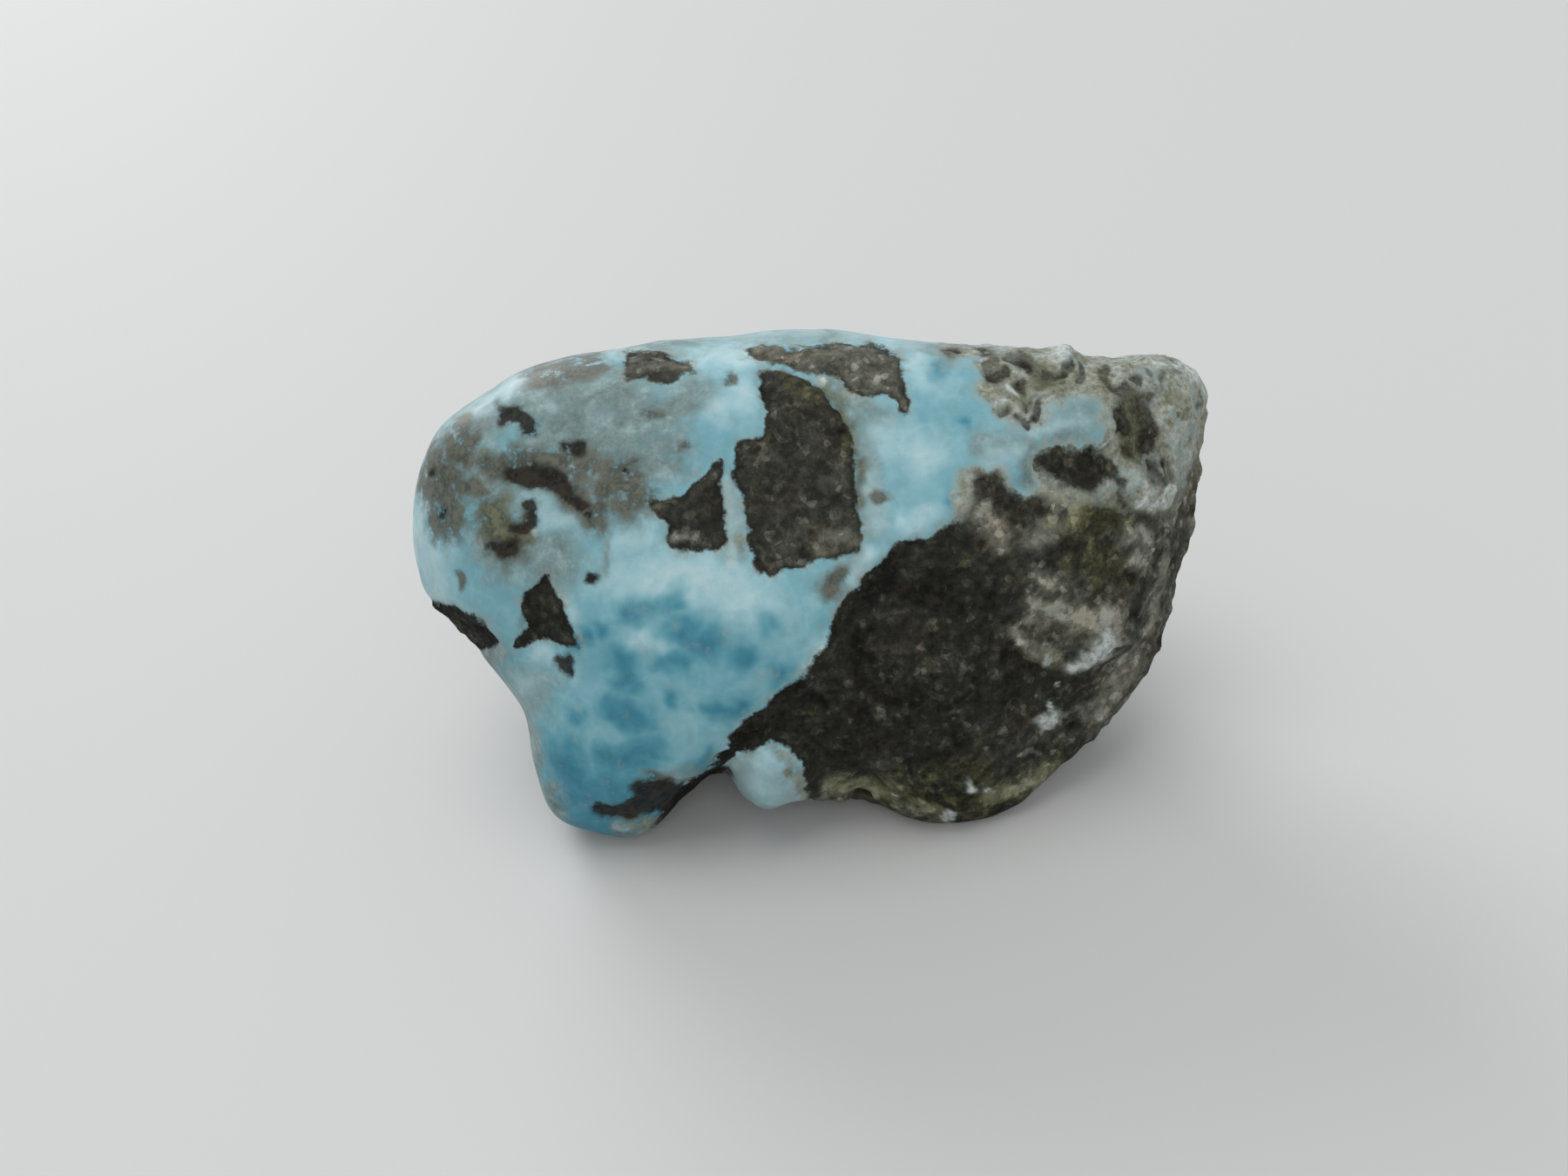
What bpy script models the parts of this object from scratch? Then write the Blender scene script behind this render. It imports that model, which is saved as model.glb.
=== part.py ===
"""Raw larimar in basalt: one natural chunk, 42 mm long, that rests on three worn pads.

Lengths here are millimetres until the mesh is finished, and metres after that. The broad face
leans back from upright, and its own axes are u along the stone, v up the face and w out of it,
all from the middle of the stone.
"""

import math

import bmesh
import bpy
from mathutils import Vector, noise

METRES = 0.001
LEAN = math.radians(35)  # the broad face, back from upright
MIDDLE_HEIGHT = 11.0  # the middle of the stone, above the ground
SQUARES = (40, 24, 22)  # along u, v and w, on the sides of the block that the surface starts from
SPREAD = Vector((21.0, 13.0, 11.5))  # rough half sizes, which keep the points evenly apart

# The edge of the broad face as (u, v), anticlockwise from the right-hand end.
OUTLINE = (
    (20.9, 2.8),
    (21.5, 6.2),
    (21.5, 8.8),
    (19.9, 10.4),
    (15.7, 10.6),
    (9.6, 11.8),
    (4.4, 12.9),
    (-2.5, 13.3),
    (-8.0, 13.3),
    (-12.7, 12.4),
    (-16.0, 10.7),
    (-18.3, 9.0),
    (-19.8, 6.9),
    (-20.4, 4.2),
    (-20.0, 0.9),
    (-18.7, -1.5),
    (-16.7, -3.8),
    (-15.5, -6.0),
    (-15.5, -8.9),
    (-14.8, -11.3),
    (-12.2, -12.3),
    (-9.8, -12.6),
    (-8.4, -11.6),
    (-6.6, -10.0),
    (-5.0, -9.6),
    (-3.2, -10.8),
    (-1.2, -12.3),
    (0.8, -12.0),
    (2.8, -12.4),
    (5.5, -13.7),
    (8.1, -13.2),
    (12.8, -10.9),
    (16.1, -7.5),
    (18.4, -3.8),
    (19.8, -0.8),
)

# Worn or broken flats: the way each one faces in u, v and w, and how far it lies from the middle.
FLATS = {
    "broad face": ((0.00, 0.10, 1.00), 7.6),
    "lower face": ((-0.08, -0.50, 1.00), 8.3),
    "left flank": ((-0.55, 0.12, 1.00), 12.4),
    "top slope": ((0.05, 0.75, 1.00), 11.2),
    "right shoulder": ((0.45, 0.25, 1.00), 12.2),
    "basalt face": ((0.30, -0.45, 1.00), 8.6),
    "right end": ((1.00, -0.30, 0.15), 19.0),
    "back": ((0.10, 0.45, -1.00), 13.6),
    "back under": ((-0.05, -0.10, -1.00), 13.0),
    "back left": ((-0.85, 0.35, -1.00), 15.2),
    "back right": ((0.80, 0.10, -1.00), 15.4),
    "back top": ((0.15, 1.00, -0.45), 14.2),
    "back top left": ((-0.80, 1.00, -0.55), 15.8),
}
EDGE = 8.0  # the higher, the sharper the edges between the flats
RIM_HOLD = 4  # the higher, the narrower the band at the rim that the outline alone shapes
FRONT_TAPER = 0.020  # how fast the stone narrows in front of the outline, and behind it
BACK_TAPER = 0.014

# Where the stone touches the ground: x, y and radius of each pad, and the hollow between them.
PADS = {
    "foot": (-10.8, -4.0, 2.8),
    "knee": (6.2, -6.2, 2.8),
    "heel": (1.0, 6.6, 3.2),
}
UNDER_HOLLOW = 2.0
UNDER_WAVES = 6.0  # width of the unevenness of the underside
UNDER_UNEVEN = 0.7  # and its share of the hollow
PAD_SHOULDER = 4.5
FOOT_ROUNDING = 0.4  # half the distance over which an edge of the underside rounds
LEAST_DROP = 0.3  # a line from the middle that falls less than this per mm misses the ground
GROUND_STEPS = 8

# The broad face's border with the big mass of basalt, which lies a step lower, as (u, v).
BASALT_BORDER = (
    (24.0, 6.0),
    (12.0, 5.4),
    (8.6, 3.2),
    (6.0, 2.2),
    (3.3, 0.2),
    (1.6, -2.2),
    (0.1, -4.9),
    (-2.8, -6.9),
    (-4.6, -9.6),
    (-4.6, -16.0),
    (24.0, -16.0),
)
BASALT_STEP = 0.6
BASALT_SLOPE = 1.3  # width of the step

# Dents (depth above 0) and lumps (below 0) of the broad face: u, v, half sizes, turn, depth.
FACE_RELIEF = {
    "triangular pit": (-13.6, -1.6, 1.5, 2.2, 20, 0.6),
    "left edge hollow": (-17.4, -1.6, 1.9, 1.2, -35, 0.8),
    "pocket over the foot": (-7.6, -11.0, 2.2, 1.3, -10, 2.6),
    "crease in the foot": (-11.2, -11.1, 2.4, 0.6, -15, 0.6),
    "knob": (-3.2, -9.9, 1.7, 1.7, 0, -2.0),
    "crease above the knob": (-4.6, -8.6, 1.8, 0.7, 40, 0.5),
    "hole beside the knob": (2.3, -11.4, 1.0, 0.7, 0, 0.9),
    "dark hollow at the right": (14.2, 5.0, 2.6, 1.1, -5, 0.9),
    "right shoulder dip": (17.4, 7.9, 1.1, 2.2, 0, 0.5),
    "curved ridge": (17.8, 3.6, 1.0, 1.4, -30, -0.6),
    "grey lump": (15.0, -3.4, 2.2, 1.9, 20, -0.8),
    "lower basalt swell": (7.5, -6.0, 4.2, 3.6, 0, -0.7),
    "lip": (5.2, -11.6, 2.2, 1.0, 20, -0.6),
}

# Ledges of the back, where all that lies past a line broke away: its way in u and v, how far
# along that way it starts, and its depth.
LEDGES = {
    "upper ledge": ((0.20, 1.00), 6.5, 1.3),
    "left ledge": ((-1.00, 0.45), 8.5, 1.5),
    "right ledge": ((1.00, -0.60), 11.0, 0.9),
}
LEDGE_SLOPE = 1.8

RIM = 1.5  # where a dent or lump runs out, in its own half sizes or radii

# Where the forms of one side give way to another's: the w at which they start, and are full.
WORN_FADE = (-1.0, 3.0)
STEP_FADE = (-1.0, 2.0)
DENT_FADE = (-2.0, 1.0)
LEDGE_FADE = (-3.0, -6.0)
SHOULDER_FADE = (12.5, 9.5)  # the same in u, from the rough right shoulder to the worn face
WORN_MARGIN = 1.5  # from the basalt to where the larimar is smooth

# Chips and lumps of the rough sides: u, v and w of each centre, its radius, and its depth.
SIDE_RELIEF = {
    "upper back chip": (7.5, 9.0, -9.0, 4.0, 1.3),
    "left back chip": (-11.5, 1.0, -10.0, 3.6, 1.1),
    "left end chip": (-18.6, -0.5, -5.0, 3.0, 0.9),
    "right end chip": (19.0, 1.0, -5.0, 3.4, 1.0),
    "right end lump": (18.5, 6.0, -6.0, 3.2, -0.9),
    "back lump": (-4.0, 4.0, -13.0, 4.5, -1.2),
    "back hollow": (3.0, -1.5, -13.0, 3.2, 0.9),
    "top bump": (13.2, 11.6, 0.0, 0.9, -0.6),
    "lower right chip": (14.5, -8.5, -4.0, 3.2, 0.8),
}

ROUGH_BASALT = 0.55  # height of the broken basalt's lumps
ROUGH_LARIMAR = 0.14  # and of the worn larimar's
LUMP_SIZES = ((7.0, 1.0), (3.3, 0.6), (1.9, 0.3))  # width of the lumps, and each one's share

STONE_COLOUR = (0.22, 0.33, 0.36, 1.0)


def outline_curve():
    """The outline as (angle, distance, slope), in order of the angle, for outline_distance."""
    polar = sorted((math.atan2(v, u), math.hypot(u, v)) for u, v in OUTLINE)
    curve = []
    for i, (angle, distance) in enumerate(polar):
        before, after = polar[i - 1], polar[(i + 1) % len(polar)]
        turn = (after[0] - before[0]) % math.tau
        curve.append((angle, distance, (after[1] - before[1]) / turn))
    return curve


def outline_distance(curve, angle):
    """How far the outline is from the middle at an angle, on a smooth curve through its points."""
    start = max((i for i, knot in enumerate(curve) if knot[0] <= angle), default=len(curve) - 1)
    a0, d0, s0 = curve[start]
    a1, d1, s1 = curve[(start + 1) % len(curve)]
    gap = (a1 - a0) % math.tau
    t = ((angle - a0) % math.tau) / gap
    bend = gap * (s0 * t * (1 - t) ** 2 - s1 * t * t * (1 - t))
    return d0 + (d1 - d0) * eased(t) + bend


def eased(x, start=0.0, end=1.0):
    """0 up to start and 1 from end on, with a smooth step between them."""
    share = min(max((x - start) / (end - start), 0.0), 1.0)
    return share * share * (3 - 2 * share)


def hill(distance):
    """1 at the centre of a dent or lump, easing to 0 at its rim, where distance is 1."""
    return eased(1 - distance)


def depth_inside(point, corners):
    """How far a point is inside a closed outline, below 0 outside it."""
    nearest = math.inf
    inside = False
    for i, (x0, y0) in enumerate(corners):
        x1, y1 = corners[i - 1]
        dx, dy = x1 - x0, y1 - y0
        along = ((point[0] - x0) * dx + (point[1] - y0) * dy) / (dx * dx + dy * dy)
        along = min(max(along, 0.0), 1.0)
        away = math.hypot(point[0] - x0 - along * dx, point[1] - y0 - along * dy)
        nearest = min(nearest, away)
        if (y0 > point[1]) != (y1 > point[1]):
            inside ^= point[0] < x0 + (point[1] - y0) * dx / dy
    return nearest if inside else -nearest


def held_distance(flats, side, way):
    """Distance from the middle to where the side wall and the flats together hold the surface."""
    shares = (max(0.0, way.dot(facing) / distance) ** EDGE for facing, distance in flats)
    return (side**EDGE + sum(shares)) ** (-1 / EDGE)


def body_distance(curve, flats, way):
    """Distance from the middle to the stone's main form along a unit vector in u, v and w."""
    angle = math.atan2(way.y, way.x)
    outline = outline_distance(curve, angle)
    level = math.hypot(way.x, way.y)
    taper = FRONT_TAPER if way.z > 0 else BACK_TAPER
    held = held_distance(flats, level / outline + taper * abs(way.z), way)
    rim = held_distance(flats, 1 / outline, Vector((math.cos(angle), math.sin(angle), 0.0)))
    # What the flats take off at the rim is given back there, so that the rim meets the outline.
    return held * (1 + (outline / rim - 1) * level**RIM_HOLD)


def lumps(point):
    """Irregular unevenness of broken stone, from about -1 to 1."""
    return sum(share * noise.noise(point / size) for size, share in LUMP_SIZES)


def worn_share(point, basalt):
    """1 on the worn larimar of the broad face, 0 on broken basalt."""
    clear_of_basalt = eased(-basalt, 0.0, WORN_MARGIN)
    return eased(point.z, *WORN_FADE) * clear_of_basalt * eased(point.x, *SHOULDER_FADE)


def face_relief(point):
    """How deep the broad face's dents and lumps are at a point."""
    depth = 0.0
    for u, v, half_u, half_v, turn, deep in FACE_RELIEF.values():
        cos, sin = math.cos(math.radians(turn)), math.sin(math.radians(turn))
        du, dv = point.x - u, point.y - v
        along, across = (du * cos + dv * sin) / half_u, (dv * cos - du * sin) / half_v
        depth += deep * hill(math.hypot(along, across) / RIM)
    return depth * eased(point.z, *DENT_FADE)


def side_relief(point):
    """How deep the ledges, chips and lumps of the rough sides are at a point."""
    depth = 0.0
    for (way_u, way_v), start, deep in LEDGES.values():
        past = (point.x * way_u + point.y * way_v) / math.hypot(way_u, way_v) - start
        depth += deep * eased(past, 0.0, LEDGE_SLOPE) * eased(point.z, *LEDGE_FADE)
    for u, v, w, radius, deep in SIDE_RELIEF.values():
        depth += deep * hill((point - Vector((u, v, w))).length / (RIM * radius))
    return depth


def ground_height(x, y):
    """The lowest the underside may be: 0 on the pads, and raised between them."""
    clear = min(math.hypot(x - px, y - py) - radius for px, py, radius in PADS.values())
    uneven = 1 + UNDER_UNEVEN * noise.noise(Vector((x, y, 0.0)) / UNDER_WAVES)
    return UNDER_HOLLOW * uneven * eased(clear, 0.0, PAD_SHOULDER)


def upright(point):
    """From u, v and w to the standing stone's x, y and z."""
    cos, sin = math.cos(LEAN), math.sin(LEAN)
    height = MIDDLE_HEIGHT + point.y * cos + point.z * sin
    return Vector((point.x, point.y * sin - point.z * cos, height))


def ground_limit(way, limit):
    """Where a unit vector meets the underside, from the height of the underside near a guess."""
    spot = upright(way * limit)
    drop = (MIDDLE_HEIGHT - spot.z) / limit
    return (MIDDLE_HEIGHT - ground_height(spot.x, spot.y)) / drop


def above_ground(way, distance):
    """A distance along a unit vector, cut where it meets the underside, with a rounded edge."""
    if upright(way).z > MIDDLE_HEIGHT - LEAST_DROP:
        return distance
    limit = distance
    for _ in range(GROUND_STEPS):
        limit = (limit + ground_limit(way, limit)) / 2
    limit = ground_limit(way, limit)
    over = distance - limit
    if abs(over) > FOOT_ROUNDING:
        return min(distance, limit)
    return distance - (over + FOOT_ROUNDING) ** 2 / (4 * FOOT_ROUNDING)


def surface_point(curve, flats, way):
    """The stone's surface along a unit vector, in u, v and w."""
    point = way * body_distance(curve, flats, way)
    basalt = depth_inside(point, BASALT_BORDER)
    half_slope = BASALT_SLOPE / 2
    sink = BASALT_STEP * eased(basalt, -half_slope, half_slope) * eased(point.z, *STEP_FADE)
    worn = worn_share(point, basalt)
    rough = ROUGH_BASALT + (ROUGH_LARIMAR - ROUGH_BASALT) * worn
    depth = sink + face_relief(point) + side_relief(point) - rough * lumps(point)
    return way * above_ground(way, point.length - depth)


def centre_over_origin(mesh):
    """Moves the middle of the stone's box over the origin, with the pads on the ground."""
    xs = [vert.co.x for vert in mesh.verts]
    ys = [vert.co.y for vert in mesh.verts]
    middle = Vector(((min(xs) + max(xs)) / 2, (min(ys) + max(ys)) / 2, 0.0))
    bmesh.ops.translate(mesh, verts=mesh.verts, vec=-middle)


def squared_block():
    """A cube whose sides are cut into squares, more of them along the stone than across it."""
    mesh = bmesh.new()
    bmesh.ops.create_cube(mesh, size=2)
    for axis, squares in enumerate(SQUARES):
        along = [e for e in mesh.edges if abs(e.verts[0].co[axis] - e.verts[1].co[axis]) > 1]
        bmesh.ops.subdivide_edges(mesh, edges=along, cuts=squares - 1, use_grid_fill=True)
    return mesh


def stone_mesh():
    """The block, its points moved out to the stone's surface."""
    curve = outline_curve()
    flats = [(Vector(facing).normalized(), distance) for facing, distance in FLATS.values()]
    mesh = squared_block()
    for vert in mesh.verts:
        # The tangent spaces the block's squares evenly once they are on a sphere.
        even = Vector(math.tan(c * math.pi / 4) for c in vert.co)
        way = (even.normalized() * SPREAD).normalized()
        vert.co = upright(surface_point(curve, flats, way))
    centre_over_origin(mesh)
    bmesh.ops.scale(mesh, verts=mesh.verts, vec=(METRES,) * 3)
    return mesh


def stone_material():
    material = bpy.data.materials.new("larimar and basalt")
    material.use_nodes = True
    shader = material.node_tree.nodes["Principled BSDF"]
    shader.inputs["Base Color"].default_value = STONE_COLOUR
    shader.inputs["Roughness"].default_value = 0.5
    shader.inputs["Metallic"].default_value = 0.0
    return material


def main():
    for old in list(bpy.data.objects):
        bpy.data.objects.remove(old)
    mesh = stone_mesh()
    data = bpy.data.meshes.new("larimar_stone")
    mesh.to_mesh(data)
    mesh.free()
    data.materials.append(stone_material())
    stone = bpy.data.objects.new("larimar_stone", data)
    bpy.context.scene.collection.objects.link(stone)


main()
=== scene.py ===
import math
import bmesh
import bpy
import numpy as np
from mathutils import Matrix, Vector, noise


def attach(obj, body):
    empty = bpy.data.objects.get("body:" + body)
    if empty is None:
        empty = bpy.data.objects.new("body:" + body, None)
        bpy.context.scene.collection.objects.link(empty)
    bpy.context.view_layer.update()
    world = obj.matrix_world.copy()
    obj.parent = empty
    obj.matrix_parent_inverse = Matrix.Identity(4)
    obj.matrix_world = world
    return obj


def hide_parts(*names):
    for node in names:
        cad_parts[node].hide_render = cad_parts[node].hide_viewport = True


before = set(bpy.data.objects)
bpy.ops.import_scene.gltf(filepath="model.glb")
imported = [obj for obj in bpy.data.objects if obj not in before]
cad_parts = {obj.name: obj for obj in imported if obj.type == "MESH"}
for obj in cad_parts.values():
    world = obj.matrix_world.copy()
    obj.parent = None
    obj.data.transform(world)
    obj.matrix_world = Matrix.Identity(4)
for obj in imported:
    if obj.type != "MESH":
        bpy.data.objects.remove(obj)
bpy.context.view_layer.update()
mm = 0.001

# The broad face has its own axes: u along the stone, v up the face and w out of it, from the
# middle of the stone. The eye looks straight at that face, and sees a point of it at (a, b).
face = {
    "middle": Vector((-0.63, -2.22, 11.0)) * mm,
    "lean": math.radians(35),                      # back from upright
    "eye": (-1.39, -0.11),                         # mm along u and v
    "eyeHeight": 73.3,                             # mm along w
}


def faceAxes():                                    # u, v and w as rows
    cos, sin = math.cos(face["lean"]), math.sin(face["lean"])
    return np.array(((1, 0, 0), (0, sin, cos), (0, -cos, sin)))


def seenPlaces(uvw):                               # (a, b) of each point
    eye = np.array(face["eye"])
    return eye + (uvw[:, :2] - eye) * face["eyeHeight"] / (face["eyeHeight"] - uvw[:, 2:])


# A light's way is the direction to it from the stone, and its spread is how many degrees wide it is.
studio = {
    "lens": 32.0,
    "roll": math.radians(-5),
    "nearest": 2 * mm,                             # anything nearer is out of the camera's sight
    "floorSize": 30.0,                             # half its side, in metres
    "floorColour": (0.50, 0.50, 0.49),
    "floorRoughness": 0.75,
    "sky": (0.92, 0.96, 1.0),
    "skyStrength": 0.62,
    "lights": {
        "window": {"way": (-0.24, 0.46, 0.26), "spread": 30, "power": 1.65, "colour": (0.96, 0.98, 1.0)},
        "ceiling": {"way": (-0.10, 0.02, 0.55), "spread": 45, "power": 1.1, "colour": (1.0, 0.99, 0.97)},
        "room": {"way": (0.05, -0.50, 0.36), "spread": 45, "power": 0.6, "colour": (1.0, 0.98, 0.95)},
    },
}


def newPiece(name, shape):
    mesh = bpy.data.meshes.new(name)
    shape.to_mesh(mesh)
    shape.free()
    piece = bpy.data.objects.new(name, mesh)
    bpy.context.scene.collection.objects.link(piece)
    return piece


def addCamera():
    u, v, w = (Vector(axis) for axis in faceAxes())
    eyeU, eyeV = face["eye"]
    eye = face["middle"] + (u * eyeU + v * eyeV + w * face["eyeHeight"]) * mm
    turn = Matrix((u, v, w)).transposed() @ Matrix.Rotation(studio["roll"], 3, "Z")
    data = bpy.data.cameras.new("camera")
    data.lens = studio["lens"]
    data.clip_start = studio["nearest"]
    camera = bpy.data.objects.new("camera", data)
    camera.matrix_world = Matrix.Translation(eye) @ turn.to_4x4()
    bpy.context.scene.collection.objects.link(camera)
    bpy.context.scene.camera = camera


def addLight(name, way, spread, power, colour):
    data = bpy.data.lights.new(name, "SUN")
    data.angle = math.radians(spread)
    data.energy = power
    data.color = colour
    light = bpy.data.objects.new(name, data)
    light.rotation_euler = (-Vector(way)).to_track_quat("-Z", "Y").to_euler()
    bpy.context.scene.collection.objects.link(light)


def addFloor():
    shape = bmesh.new()
    bmesh.ops.create_grid(shape, x_segments=1, y_segments=1, size=studio["floorSize"])
    floor = newPiece("floor", shape)
    board = Board("floor")
    board.plug(board.shader.inputs["Base Color"], board.opaque(studio["floorColour"]))
    board.plug(board.shader.inputs["Roughness"], studio["floorRoughness"])
    floor.data.materials.append(board.material)


def addStudio():
    addCamera()
    addFloor()
    for name, light in studio["lights"].items():
        addLight(name, **light)
    world = bpy.data.worlds.new("studio")
    world.use_nodes = True
    background = world.node_tree.nodes["Background"]
    background.inputs["Color"].default_value = (*studio["sky"], 1)
    background.inputs["Strength"].default_value = studio["skyStrength"]
    bpy.context.scene.world = world
    bpy.context.scene.view_settings.view_transform = "Standard"


class Wire:                                        # a number or a colour that comes out of a node
    def __init__(self, board, socket):
        self.board, self.socket = board, socket

    def maths(self, operation, first, second):
        return self.board.node("ShaderNodeMath", {"operation": operation}, {0: first, 1: second})

    def __add__(self, other):
        return self.maths("ADD", self, other)

    def __radd__(self, other):
        return self.maths("ADD", other, self)

    def __sub__(self, other):
        return self.maths("SUBTRACT", self, other)

    def __rsub__(self, other):
        return self.maths("SUBTRACT", other, self)

    def __mul__(self, other):
        return self.maths("MULTIPLY", self, other)

    def __rmul__(self, other):
        return self.maths("MULTIPLY", other, self)

    def size(self):                                # without its sign
        return self.board.node("ShaderNodeMath", {"operation": "ABSOLUTE"}, {0: self})


class Board:                                       # one material and its nodes
    def __init__(self, name):
        self.material = bpy.data.materials.new(name)
        self.material.use_nodes = True
        self.tree = self.material.node_tree
        self.shader = self.tree.nodes["Principled BSDF"]

    def node(self, kind, settings=None, sockets=None, out=0):
        made = self.tree.nodes.new(kind)
        for name, value in (settings or {}).items():
            if name == "stops":
                self.setStops(made.color_ramp, value)
            else:
                setattr(made, name, value)
        for name, value in (sockets or {}).items():
            self.plug(self.find(made.inputs, name), value)
        return Wire(self, self.find(made.outputs, out))

    def find(self, sockets, name):                 # by place, by identifier or by name
        if isinstance(name, int):
            return sockets[name]
        return next((socket for socket in sockets if socket.identifier == name), None) or sockets[name]

    def plug(self, socket, value):
        if isinstance(value, Wire):
            self.tree.links.new(value.socket, socket)
        else:
            socket.default_value = value

    def setStops(self, ramp, stops):
        while len(ramp.elements) < len(stops):
            ramp.elements.new(0.5)
        for element, (place, colour) in zip(ramp.elements, stops):
            element.position = place
            element.color = self.opaque(colour)

    def opaque(self, colour):
        return colour if isinstance(colour, Wire) else (*colour, 1)

    def attribute(self, name):
        return self.node("ShaderNodeAttribute", {"attribute_name": name}, out="Fac")

    def places(self, size, shift):                 # Object coordinates, in units of so many mm
        spot = self.node("ShaderNodeTexCoord", out="Object")
        scale = (1 / (mm * size),) * 3
        return self.node("ShaderNodeMapping", None, {"Vector": spot, "Location": shift, "Scale": scale})

    def noise(self, size, detail, roughness, warp, shift):    # mostly from -1 to 1
        sockets = {"Vector": self.places(size, shift), "Scale": 1.0, "Detail": detail,
                   "Roughness": roughness, "Distortion": warp}
        return (self.node("ShaderNodeTexNoise", None, sockets, out="Fac") - 0.5) * 4

    def grains(self, size, shift):                 # one level from 0 to 1 for each grain
        sockets = {"Vector": self.places(size, shift), "Scale": 1.0}
        cells = self.node("ShaderNodeTexVoronoi", {"feature": "F1"}, sockets, out="Color")
        return self.node("ShaderNodeSeparateColor", None, {"Color": cells}, out="Red")

    def ease(self, value, low, high):              # a smooth step from low to high
        sockets = {"Value": value, "From Min": low, "From Max": high}
        return self.node("ShaderNodeMapRange", {"interpolation_type": "SMOOTHSTEP"}, sockets)

    def mix(self, factor, first, second, blend="MIX"):
        sockets = {"Factor_Float": factor, "A_Color": self.opaque(first), "B_Color": self.opaque(second)}
        settings = {"data_type": "RGBA", "blend_type": blend, "clamp_factor": True}
        return self.node("ShaderNodeMix", settings, sockets, out="Result_Color")

    def ramp(self, value, stops):
        return self.node("ShaderNodeValToRGB", {"stops": stops}, {"Fac": value}, out="Color")


def smoothLoop(outline, steps=4):                  # a closed curve through the points
    here = np.array(outline, float)
    before, after, later = (np.roll(here, shift, axis=0) for shift in (1, -1, -2))
    curve = []
    for t in np.arange(steps) / steps:
        bend = (2 * before - 5 * here + 4 * after - later) * t**2
        twist = (3 * here - before - 3 * after + later) * t**3
        curve.append((2 * here + (after - before) * t + bend + twist) / 2)
    return np.stack(curve, axis=1).reshape(-1, 2)


def depthInside(places, outline):                  # mm in from the edge, below 0 outside
    loop = smoothLoop(outline)
    nearest = np.full(len(places), np.inf)
    inside = np.zeros(len(places), bool)
    for start, end in zip(loop, np.roll(loop, -1, axis=0)):
        run, away = end - start, places - start
        along = np.clip(away @ run / (run @ run), 0, 1)
        nearest = np.minimum(nearest, np.hypot(*(away - along[:, None] * run).T))
        crosses = (start[1] > places[:, 1]) != (end[1] > places[:, 1])
        inside ^= crosses & ((away[:, 0] * run[1] - away[:, 1] * run[0]) * np.sign(run[1]) < 0)
    return np.where(inside, nearest, -nearest)


def strokes(places, lines):                        # 1 along each line of points, fading over its width
    cover = np.zeros(len(places))
    for *line, width in lines:
        for start, end in zip(line, line[1:] or line):
            start, run = np.array(start), np.subtract(end, start)
            along = np.clip((places - start) @ run / max(run @ run, 1e-9), 0, 1)
            gap = np.hypot(*(places - start - along[:, None] * run).T)
            cover = np.maximum(cover, np.exp(-(gap / width) ** 2))
    return cover


def ease(value, low, high):                        # a smooth step from low to high
    level = np.clip((value - low) / (high - low), 0, 1)
    return level * level * (3 - 2 * level)


def noiseAt(points, size, shift):                  # mostly from -1 to 1, in lumps of size
    return np.array([noise.noise(place) for place in points / size + shift])


def facetsAt(points, size, slope):                 # mm out: planes that each tilt their own way
    levels = []
    for place in points / size:
        gaps, middles = noise.voronoi(place)
        first, second = (slope * size * (Vector(place) - middle).dot(tiltOf(middle))
                         for middle in middles[:2])
        share = min((gaps[1] - gaps[0]) / stone["facetBlend"], 1) / 2 + 0.5
        levels.append(first * share + second * (1 - share))
    return np.array(levels)


def tiltOf(middle):                                # a plane's own tilt, each part from -1 to 1
    cells = 7                                      # to a unit, so that no two middles share one
    return noise.cell_vector(middle * cells) * 2 - Vector((1, 1, 1))


def tone(red, green, blue):                        # a colour of 0 to 255 as the eye sees it
    return tuple(((part / 255 + 0.055) / 1.055) ** 2.4 for part in (red, green, blue))


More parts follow.
